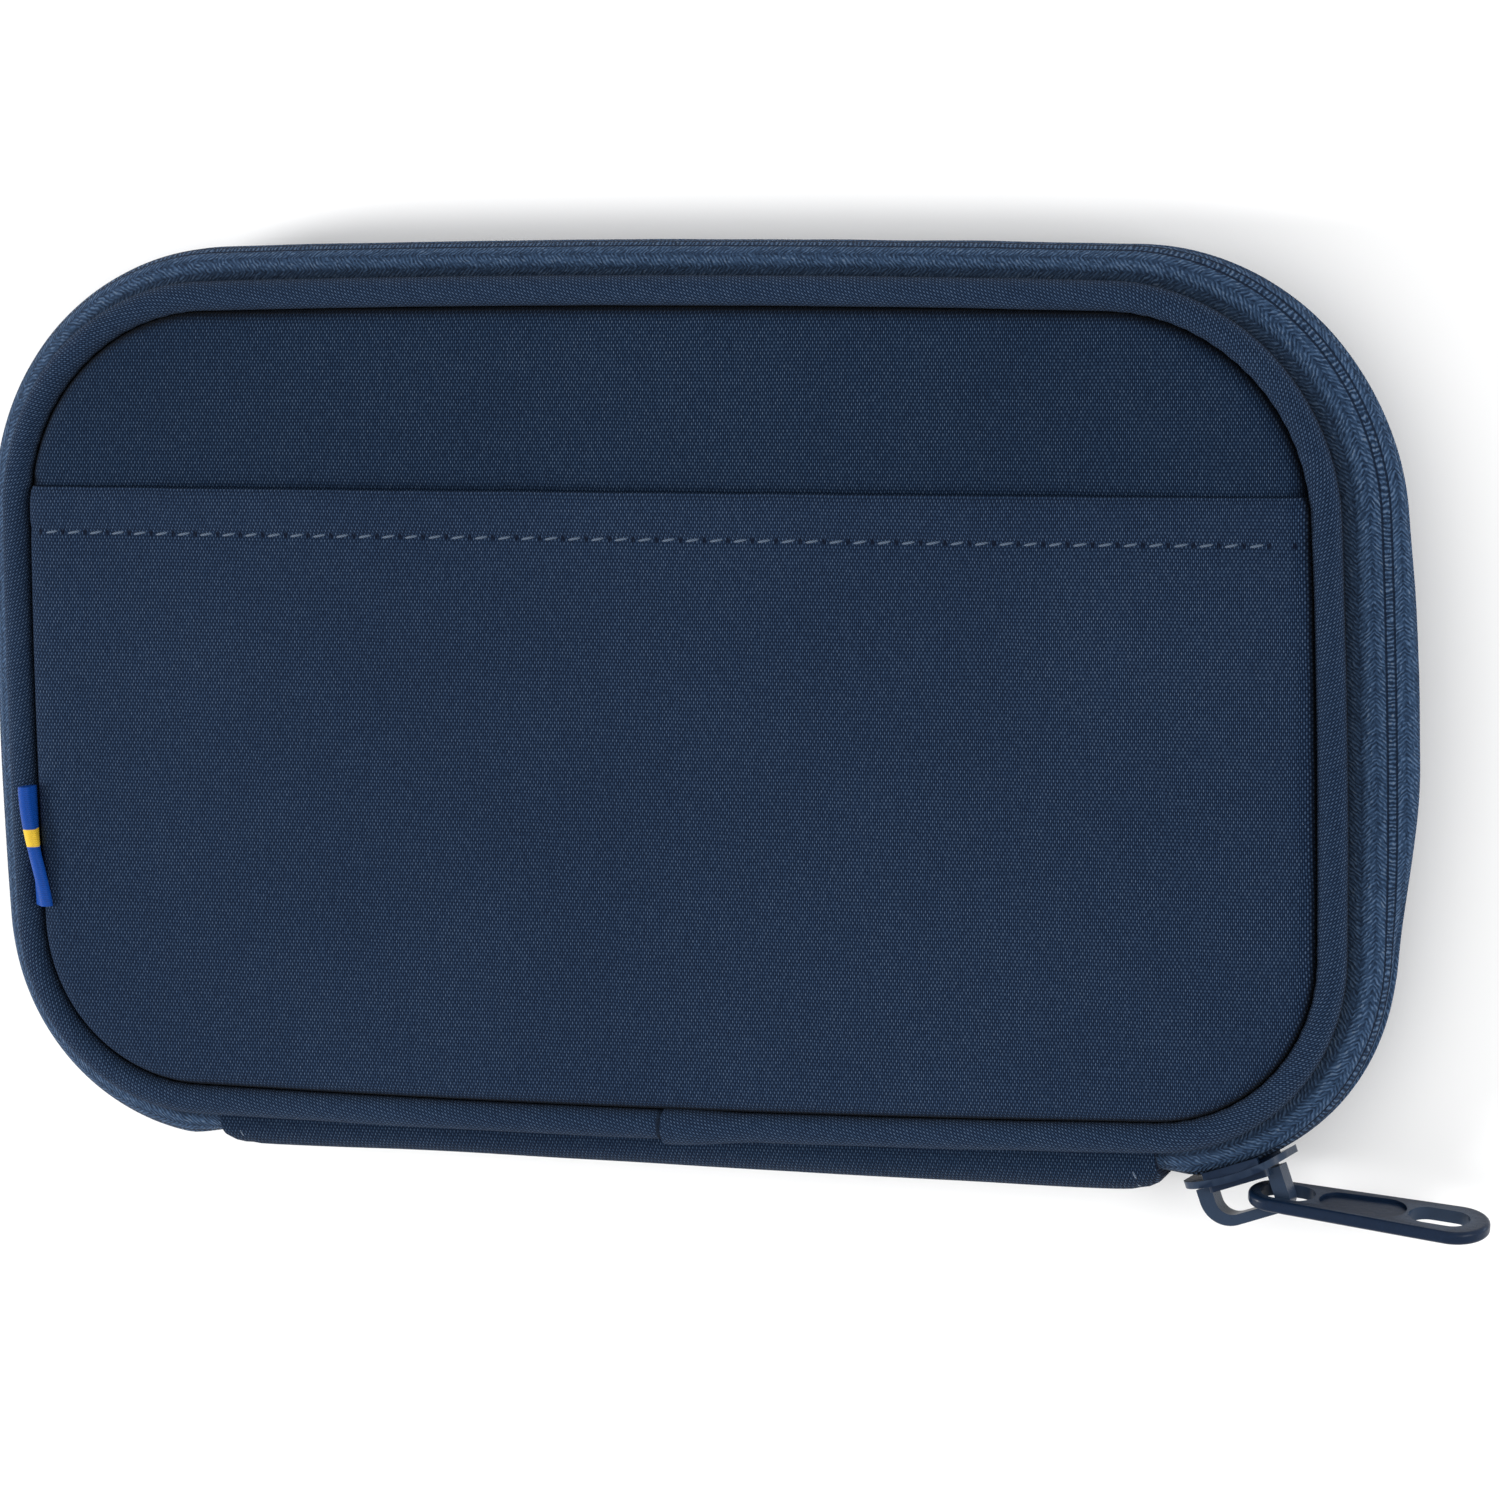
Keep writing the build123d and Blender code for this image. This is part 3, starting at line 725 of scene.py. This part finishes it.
def piping_section(number):
    """Round section of the piping at a point of the seam, a little uneven, puckered round the corners."""
    x, y = SEAM.points[number]
    length = SEAM.lengths[number]
    pucker_pitch = 2.7
    in_corner = abs(x) > 66 and abs(y) > 26
    pucker = 0.05 * math.sin(2 * math.pi * length / pucker_pitch) if in_corner else 0.0
    ring = []
    for side in range(ROUND_SIDES):
        turn = 2 * math.pi * side / ROUND_SIDES
        radius = PIPING_RADIUS + pucker * max(0.0, -math.cos(turn)) + 0.05 * ripple(length, turn, 9, 5.5)
        ring.append((PIPING_RADIUS + radius * math.cos(turn), PIPING_HEIGHT - radius * math.sin(turn)))
    return ring


def lap_piece(material):
    """End of the piping turned over the other end, in the middle of the spine edge."""
    along_x, along_y = SEAM.points[:, 0], SEAM.points[:, 1]
    line = SEAM.part((along_y < 0) & (along_x > LAP_X[0]) & (along_x < LAP_X[1]))
    sunk = 0.12

    def section(number):
        x = line.points[number][0]
        share = 1 - smooth_step(LAP_X[0] + 2, LAP_X[1], x)
        lip = 1 - 0.5 * math.exp(-(x - LAP_X[0]) / 0.35)
        radius = PIPING_RADIUS - sunk + (LAP_RISE + sunk) * share * lip
        ring = []
        for side in range(ROUND_SIDES):
            turn = 2 * math.pi * side / ROUND_SIDES
            ring.append((PIPING_RADIUS + 0.2 * share + radius * math.cos(turn),
                         PIPING_HEIGHT - radius * math.sin(turn)))
        return ring
    return sweep("front_piping_lap", line, section, material, True, False)


def side_bulge(x, y, out_x, front):
    """How far the zip stands out past an even ring at the short edges; the right one stands out further."""
    if x < 0:
        short_edge = x < -80
        return LEFT_BULGE * max(0.0, 1 - ((y - 4) / 38)**2) if short_edge else 0.0
    most = FRONT_RIGHT_BULGE if front else BACK_RIGHT_BULGE
    upper = 1 - 0.45 * smooth_step(5, 45, y)
    past_slider = smooth_step(-36, -6, y)
    return most * upper * past_slider * max(0.0, out_x)


def tape_section(line, front):
    """Section of the zip tape: fuller at the short edges, tucked in under the spine's ends."""
    def section(number):
        x, y = line.points[number]
        bulge = side_bulge(x, y, line.normals[number][0], front)
        tuck = 0.9 * (1 - smooth_step(68.5, 73.0, abs(x))) if y < 0 else 0.0
        points = []
        for offset, height in TAPE_SECTION:
            share = smooth_step(4.4, 8.3, height)
            uneven = 0.10 * ripple(line.lengths[number], height, 11, 2.2) * share
            points.append((offset + bulge * share - tuck * share + uneven, height))
        return points
    return section


def tape_piece(front, material):
    """Tape, from under one end of the spine round the three open edges to the other end."""
    points = SEAM.points
    line = SEAM.part((points[:, 1] > 0) | (abs(points[:, 0]) > TAPE_END_X))
    side = "front" if front else "back"
    piece = sweep(f"{side}_zip_tape_knit", line, tape_section(line, front), material, front, False)
    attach(piece, f"{side}_cover")
    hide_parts(f"{side}_zip_tape")


def coil_piece(front, material):
    """Half of the coil: a wire wound in turns inside the tape's edge."""
    line = SEAM.part((SEAM.points[:, 1] > 0) | (abs(SEAM.points[:, 0]) > COIL_END_X))
    steps, sides = 10, 5
    count = int((line.lengths[-1] - line.lengths[0]) / COIL_PITCH) * steps
    vertices, faces = [], []
    for number in range(count):
        travel = line.lengths[0] + number * COIL_PITCH / steps
        x, y = (np.interp(travel, line.lengths, line.points[:, axis]) for axis in (0, 1))
        out_x, out_y = (np.interp(travel, line.lengths, line.normals[:, axis]) for axis in (0, 1))
        out = Vector((out_x, out_y, 0)).normalized()
        turn = 2 * math.pi * number / steps
        offset = COIL_OFFSET + side_bulge(x, y, out.x, front) + COIL_HALF_WIDTH * math.sin(turn)
        centre = Vector((x, y, 0)) + out * offset
        centre.z = on_side(COIL_HEIGHT + COIL_HALF_DEPTH * math.cos(turn), front)
        tangent = Vector((-out.y, out.x, 0))
        for side in range(sides):
            angle = 2 * math.pi * side / sides
            vertices.append(centre + (out * math.cos(angle) + tangent * math.sin(angle)) * COIL_WIRE)
    for number in range(count - 1):
        for side in range(sides):
            after = (side + 1) % sides
            here = number * sides
            faces.append((here + side, here + sides + side, here + sides + after, here + after))
    faces.append(tuple(range(sides)))
    faces.append(tuple(range(len(vertices) - sides, len(vertices))))
    return new_piece("front_coil_winding" if front else "back_coil_winding", vertices, faces, material)


def stitches(name, places, material, length=STITCH_LENGTH):
    """Sewn stitches, threads that dive into the cloth at both ends; a place is centre, along and up."""
    rings, sides = 7, 6
    vertices, faces = [], []
    for centre, along, up in places:
        along, up = Vector(along).normalized(), Vector(up).normalized()
        along = Matrix.Rotation(math.radians(STITCH_LEAN), 3, up) @ along
        across = up.cross(along)
        first = len(vertices)
        for ring in range(rings):
            share = ring / (rings - 1) * 2 - 1
            middle = Vector(centre) + along * share * length / 2 + up * (0.20 * (1 - share**2) - 0.12)
            girth = STITCH_WIDTH / 2 * (0.45 + 0.55 * math.sqrt(max(0.0, 1 - share**4)))
            for side in range(sides):
                turn = 2 * math.pi * side / sides
                vertices.append(middle + across * girth * math.cos(turn) + up * girth * math.sin(turn))
        for ring in range(rings - 1):
            for side in range(sides):
                after = (side + 1) % sides
                here = first + ring * sides
                faces.append((here + side, here + sides + side, here + sides + after, here + after))
        faces.append(tuple(first + side for side in range(sides)))
        faces.append(tuple(first + (rings - 1) * sides + side for side in range(sides)))
    return new_piece(name, vertices, faces, material)


def inside_stitches(name, rows, base, front, reach, material):
    """Rows of small stitches just inside the mouths of the inner pockets."""
    way = 1 if front else -1
    places = []
    for number, y in enumerate(rows):
        z = on_side(base[number], front) - way * 0.02
        count = int(2 * reach / STITCH_PITCH)
        for step in range(count):
            places.append(((STITCH_PITCH * (step - count / 2), y, z), (1, 0, 0), (0, 0, -way)))
    return stitches(name, places, material)


def hem_stitches(material):
    """The row of stitches under the slip pocket's mouth."""
    places = []
    for number in range(int(2 * HEM_REACH / STITCH_PITCH)):
        x = -HEM_REACH + (number + 0.5) * STITCH_PITCH
        z = on_side(pocket_height(x, HEM_STITCH_Y), True)
        places.append(((x, HEM_STITCH_Y, z + 0.05), (1, 0, 0), (0, 0, 1)))
    return stitches("hem_stitches", places, material)


# ---- spine ----

def spine_point(share, inset=0.0):
    """Point of the spine's section: share 0 is the front seam, 1 the back one, beyond is under a cover."""
    if not 0 <= share <= 1:
        past = -share if share < 0 else share - 1
        y, z = spine_point(min(1, max(0, share)), inset)
        return y + past * SPINE_FLANGE, z
    turn = math.pi * share
    rise = math.sin(turn)**SPINE_FULLNESS
    y = SPINE_ROOT_Y - SPINE_SWELL * rise + inset * rise
    z = MIDDLE + (SPINE_HALF_HEIGHT - inset * 0.5) * math.cos(turn)
    return y, z


def spine_drop(x):
    """The spine's extra slack towards its right end, taken up at the very end."""
    return SPINE_SLACK * smooth_step(-45, 62, x) * (1 - math.exp((x - SPINE_ENDS[1]) / 1.8))


def spine_piece(name, first, last, material, inset=0.0, thick=0.8):
    """Stretch of the spine's cloth between two shares of its section."""
    columns, rows = 120, 20
    vertices, faces = [], []
    low, high = SPINE_ENDS
    for layer in (inset, inset + thick):
        for column in range(columns + 1):
            x = low + (high - low) * column / columns
            for row in range(rows + 1):
                share = first + (last - first) * row / rows
                y, z = spine_point(share, layer)
                swell = math.sin(math.pi * min(1, max(0, share)))
                y += 0.10 * ripple(x, z, 17, 6.3) * swell
                y -= spine_drop(x) * swell
                edge = min(x - low, high - x)
                pinch = 0.22 * math.exp(-((edge - 3.0) / 0.5)**2) * swell
                pinch += 0.95 * math.exp(-edge / 1.3) * abs(swell)**0.5
                vertices.append((x, y + pinch, z))
    count = (columns + 1) * (rows + 1)
    step = rows + 1
    for column in range(columns):
        for row in range(rows):
            a = column * step + row
            faces.append((a, a + 1, a + step + 1, a + step))
            faces.append((count + a, count + a + step, count + a + step + 1, count + a + 1))
    rim = [column * step for column in range(columns + 1)]
    rim += [columns * step + row for row in range(1, step)]
    rim += [column * step + rows for column in range(columns - 1, -1, -1)]
    rim += [row for row in range(rows - 1, 0, -1)]
    for here, there in zip(rim, rim[1:] + rim[:1]):
        faces.append((here, there, count + there, count + here))
    return new_piece(name, vertices, faces, material)


def spine_pieces(cloth_material, lining_material):
    """Outer cloth and lining of the spine, each in two halves."""
    for front in (True, False):
        side = "front" if front else "back"
        for label, material, inset, thick, node, tuck in (
            ("cloth", cloth_material, 0.0, 0.8, "spine_panel", 0.1),
            ("lining", lining_material, 0.95, 0.35, "spine_lining", 0.05),
        ):
            first, last = (-tuck, 0.5) if front else (0.5, 1 + tuck)
            piece = spine_piece(f"spine_{label}_{side}", first, last, material, inset, thick)
            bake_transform(piece)
            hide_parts(node)


def spine_stitches(material):
    """A few stitches across each end of the spine."""
    places = []
    for x in (SPINE_ENDS[0] + 3.0, SPINE_ENDS[1] - 3.0):
        for share in SPINE_STITCHES:
            y, z = spine_point(share)
            y_next, z_next = spine_point(share + 0.02)
            along = Vector((0, y_next - y, z_next - z))
            y -= spine_drop(x) * math.sin(math.pi * share)
            outwards = (0, -math.sin(math.pi * share), math.cos(math.pi * share))
            places.append(((x, y + 0.42, z), along, outwards))
    return stitches("spine_stitches", places, material, length=2.0)


# ---- label ----

def label_piece(material):
    """Ribbon folded double, standing out of the seam, its lower end turned in over the pocket."""
    rise, thick = 3.3, 0.40
    gap_foot, gap_top = 0.10, 0.50
    turns = 9
    section = []
    for grow, way in ((thick, 1), (0.0, -1)):
        foot, top = gap_foot + grow, gap_top + grow
        ring = [(-foot, 0.0)]
        for number in range(turns):
            turn = math.pi - math.pi * number / (turns - 1)
            ring.append((top * math.cos(turn), rise - gap_top - thick + top * math.sin(turn)))
        ring.append((foot, 0.0))
        section += ring[::way]
    steps = 28
    vertices, faces = [], []
    for step in range(steps + 1):
        share = step / steps
        y = LABEL_Y[0] + (LABEL_Y[1] - LABEL_Y[0]) * share
        foot_x = -HALF_LENGTH - 0.15 + y**2 / (2 * SHORT_RADIUS)
        swing = math.radians(56 - 64 * smooth_step(-0.25, 1.0, share))
        for across, up in section:
            x = foot_x + across * math.cos(swing) + up * math.sin(swing)
            vertices.append((x, y, THICKNESS - 1.0 - across * math.sin(swing) + up * math.cos(swing)))
    count = len(section)
    for step in range(steps):
        for side in range(count):
            after = (side + 1) % count
            here = step * count
            faces.append((here + side, here + after, here + count + after, here + count + side))
    half = count // 2
    for first in (0, steps * count):
        for side in range(half - 1):
            across = first + count - 1 - side
            faces.append((first + side, first + side + 1, across - 1, across))
    return new_piece("label_ribbon", vertices, faces, material)


# ---- inside ----

def inside_cloth(name, node, y_range, base, body, front, material):
    """Pocket cloth lying inside the case, a little uneven away from the binding."""
    def height(x, y):
        uneven = 0.06 * ripple(x, y, 22, base) * smooth_step(4, 16, seam_depth(x, y))
        return base + INNER_POCKET_THICK + uneven
    piece = cloth(name, INSIDE_MARGIN, y_range, height, -INNER_POCKET_THICK, material, front)
    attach(piece, body)
    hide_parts(node)


def add_inside(lining_material, pocket_material):
    """Linings, the zipped and passport pockets in the back cover, and the card rows in the front one."""
    for front in (False, True):
        side, body = ("front", "front_cover") if front else ("back", "back_cover")
        piece = cloth(f"{side}_lining_cloth", LINING_INSET, (-FAR_Y, FAR_Y), lambda x, y: LINING_HEIGHT,
                      -LINING_THICK, lining_material, front)
        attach(piece, body)
        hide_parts(f"{side}_lining")
    base = LINING_HEIGHT + 0.05
    lower = (-FAR_Y, POCKET_ZIP_Y - POCKET_ZIP_GAP)
    upper = (POCKET_ZIP_Y + POCKET_ZIP_GAP, FAR_Y)
    for name, y_range in (("zip_pocket_lower", lower), ("zip_pocket_upper", upper)):
        inside_cloth(name, f"{name}_cloth", y_range, base, "back_cover", False, pocket_material)
    inside_cloth("passport_pocket_cloth", "passport_pocket", (-FAR_Y, PASSPORT_MOUTH_Y), base + 0.45,
                 "back_cover", False, pocket_material)
    for number, mouth in enumerate(CARD_MOUTHS_Y):
        inside_cloth(f"card_row_cloth_{number + 1}", f"card_row_{number + 1}", (-FAR_Y, mouth),
                     base + number * CARD_STEP, "front_cover", True, pocket_material)


def add_inside_stitches(material):
    """Stitches beside the zip and the passport pocket's mouth, and under the mouths of the card rows."""
    base = LINING_HEIGHT + 0.35
    inset = 2.2
    beside = POCKET_ZIP_GAP + 1.2
    back_rows = (POCKET_ZIP_Y - beside, POCKET_ZIP_Y + beside, PASSPORT_MOUTH_Y - inset)
    back = inside_stitches("back_inner_stitches", back_rows, (base, base, base + 0.45), False, 78, material)
    card_rows = [mouth - inset for mouth in CARD_MOUTHS_Y]
    card_base = [base + number * CARD_STEP for number in range(len(CARD_MOUTHS_Y))]
    front = inside_stitches("front_inner_stitches", card_rows, card_base, True, 76, material)
    for piece, body in ((back, "back_cover"), (front, "front_cover")):
        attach(piece, body)


def binding_piece(front, material):
    """Ribbon folded over the seam's raw edges inside the case."""
    side = "front" if front else "back"
    piece = sweep(f"{side}_binding_ribbon", SEAM, lambda number: BINDING_SECTION, material, front, True)
    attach(piece, f"{side}_cover")
    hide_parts(f"{side}_edge_binding")


# ---- the whole case ----

def add_panel(front, material):
    """Outer cloth of a cover, over its foam."""
    side = "front" if front else "back"
    panel = cloth(f"{side}_panel_cloth", PANEL_INSET, (-FAR_Y, FAR_Y), panel_height(front), PANEL_THICK,
                  material, front)
    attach(panel, f"{side}_cover")
    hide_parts(f"{side}_panel", f"{side}_foam")


def add_piping(front, material):
    """Piping sleeve of a cover, with the lap that closes the front one."""
    side = "front" if front else "back"
    pieces = [sweep(f"{side}_piping_sleeve", SEAM, piping_section, material, front, True)]
    if front:
        pieces.append(lap_piece(material))
    for piece in pieces:
        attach(piece, f"{side}_cover")
        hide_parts(f"{side}_piping")


def add_coil(front, material):
    side = "front" if front else "back"
    coil = coil_piece(front, material)
    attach(coil, f"{side}_cover")
    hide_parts(f"{side}_zip_coil")


def add_slip_pocket(material, thread_material):
    """Open pocket on the front cover, with its hem stitches."""
    pocket = cloth("slip_pocket_cloth", POCKET_INSET, (-FAR_Y, MOUTH_Y), pocket_height, POCKET_THICK,
                   material, True, fine_rows=((21.0, MOUTH_Y),))
    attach(pocket, "front_cover")
    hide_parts("front_slip_pocket")
    thread = hem_stitches(thread_material)
    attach(thread, "front_cover")
    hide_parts("front_hem_thread")


def add_label():
    label = label_piece(label_material())
    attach(label, "front_cover")
    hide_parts("label_tab")


def dress_cad_nodes(coil_material, lining_material):
    """Materials of the CAD pieces that are shown as they are."""
    kept = {
        painted_metal(): ("slider_body", "slider_crown", "pull_tab", "zip_pocket_slider", "zip_pocket_pull",
                          "back_zip_stops", "front_zip_stop", "zip_pocket_stops"),
        coil_material: ("zip_pocket_coils",),
        lining_material: ("zip_pocket_tapes",),
        grainy("stiff_board", BOARD_COLOUR, 0.6, 500, 0.05): ("back_stiffener", "front_stiffener"),
        grainy("piping_filler", FILLER_COLOUR, 0.9, 1200, 0.2): ("back_piping_cord", "front_piping_cord"),
    }
    for material, names in kept.items():
        for name in names:
            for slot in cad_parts[name].material_slots:
                slot.material = material


def build_case():
    # panel and spine canvas: lit colour dimmed as painted shade
    panel_canvas = canvas("panel_canvas", light=PANEL_LIT_SHADED, shade=PANEL_SHADE)
    piping_canvas = canvas("piping_canvas", "UV", turned=True, light=PIPING_LIT, shade=PIPING_SHADE)
    spine_canvas = canvas("spine_canvas_cloth", light=PANEL_LIT_SHADED)
    lining_cloth = canvas("lining_cloth", light=LINING_LIT, dark=LINING_SHADED)
    pocket_cloth = canvas("inner_pocket_cloth", light=LINING_LIT, dark=LINING_SHADED)
    tape_knit = zip_tape_material()
    binding_ribbon = grosgrain()
    coil_plastic = grainy("coil_plastic", COIL_COLOUR, 0.4, 900, 0.02)
    thread = twisted_thread()

    for front in (True, False):
        add_panel(front, panel_canvas)
        add_piping(front, piping_canvas)
        tape_piece(front, tape_knit)
        add_coil(front, coil_plastic)
        binding_piece(front, binding_ribbon)
    add_slip_pocket(hem_canvas(), thread)
    add_label()

    spine_pieces(spine_canvas, lining_cloth)
    sewn = spine_stitches(thread)
    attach(sewn, "spine")

    add_inside(lining_cloth, pocket_cloth)
    add_inside_stitches(thread)
    dress_cad_nodes(coil_plastic, lining_cloth)


# ---- floor, light and camera ----

AZIMUTH = math.radians(20.87)
ELEVATION = math.radians(7.0)
ROLL = math.radians(-1.37)
DISTANCE = 1015.3
SIDESTEP = 13.22
RISE = -5.20
AIM_HEIGHT = 19.2
LENS = 181.26


def camera_axes():
    back = Vector((math.sin(AZIMUTH) * math.cos(ELEVATION), math.sin(ELEVATION),
                   math.cos(AZIMUTH) * math.cos(ELEVATION)))
    right = Vector((0, 1, 0)).cross(back).normalized()
    up = back.cross(right)
    turned = right * math.cos(ROLL) + up * math.sin(ROLL)
    return turned, back.cross(turned), back


def add_camera():
    right, up, back = camera_axes()
    data = bpy.data.cameras.new("camera")
    data.lens = LENS
    data.sensor_width = 36.0
    data.clip_start, data.clip_end = 0.05, 10.0
    camera = bpy.data.objects.new("camera", data)
    place = (back * DISTANCE + right * SIDESTEP + up * RISE + Vector((0, 0, AIM_HEIGHT))) * MM
    turn = Matrix((right, up, back)).transposed().to_4x4()
    camera.matrix_world = Matrix.Translation(place) @ turn
    bpy.context.scene.collection.objects.link(camera)
    bpy.context.scene.camera = camera


def add_area_light(name, place, size, power):
    data = bpy.data.lights.new(name, "AREA")
    data.shape = "DISK"
    data.size = size
    data.energy = power
    light = bpy.data.objects.new(name, data)
    light.location = place
    light.rotation_euler = (-Vector(place)).to_track_quat("-Z", "Y").to_euler()
    bpy.context.scene.collection.objects.link(light)


def add_floor():
    """Pale floor just under the case, with a trace of unevenness in its colour."""
    graph = Graph("studio_floor")
    colour = graph.mix(graph.noise(30, 2.0), toned(FLOOR_COLOUR, 0.99), FLOOR_COLOUR)
    material = graph.finish(colour, 0.9)
    signs = ((-1, -1), (1, -1), (1, 1), (-1, 1))
    corners = [(x * FLOOR_HALF, y * FLOOR_HALF, -FLOOR_DROP) for x, y in signs]
    new_piece("floor", corners, [(0, 1, 2, 3)], material)


def add_world():
    world = bpy.data.worlds.new("studio")
    world.use_nodes = True
    sky = world.node_tree.nodes["Background"]
    sky.inputs["Color"].default_value = (1.0, 1.0, 1.0, 1.0)
    sky.inputs["Strength"].default_value = SKY_STRENGTH
    bpy.context.scene.world = world


build_case()
add_camera()
add_floor()
add_world()
for light in LIGHTS:
    add_area_light(*light)
bpy.context.scene.view_settings.view_transform = "Standard"
